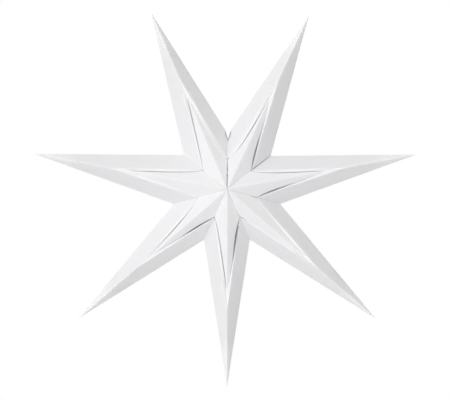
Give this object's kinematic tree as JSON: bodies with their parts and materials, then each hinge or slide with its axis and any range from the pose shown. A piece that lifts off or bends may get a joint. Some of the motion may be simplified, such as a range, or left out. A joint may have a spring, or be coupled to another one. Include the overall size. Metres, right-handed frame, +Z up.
{
  "type": "paper star lampshade",
  "caption": "Hanging star lampshade of folded white paper: long hollow points, a smaller pierced star cut and folded into each face, and a notch at the top for a lamp cord.",
  "frame": {"origin": "middle of the cord notch, where the outline's inner corner would be at the top of the star", "axes": "+Z up, +X to the right seen from the front, and the front face looks towards -Y; the star's own axis is parallel to Y"},
  "size_m": [0.5999, 0.1198, 0.5876],
  "materials": {
    "paper": "uncoated white, faintly fibrous",
    "fastener": "short white nylon pile"
  },
  "bodies": {
    "root": {"top_left_point": "paper", "top_right_point": "paper", "left_point": "paper", "right_point": "paper", "lower_left_point": "paper", "bottom_point": "paper", "lower_right_point": "paper", "front_hook_dot": "fastener", "front_loop_dot": "fastener", "back_hook_dot": "fastener", "back_loop_dot": "fastener"}
  },
  "joints": []
}
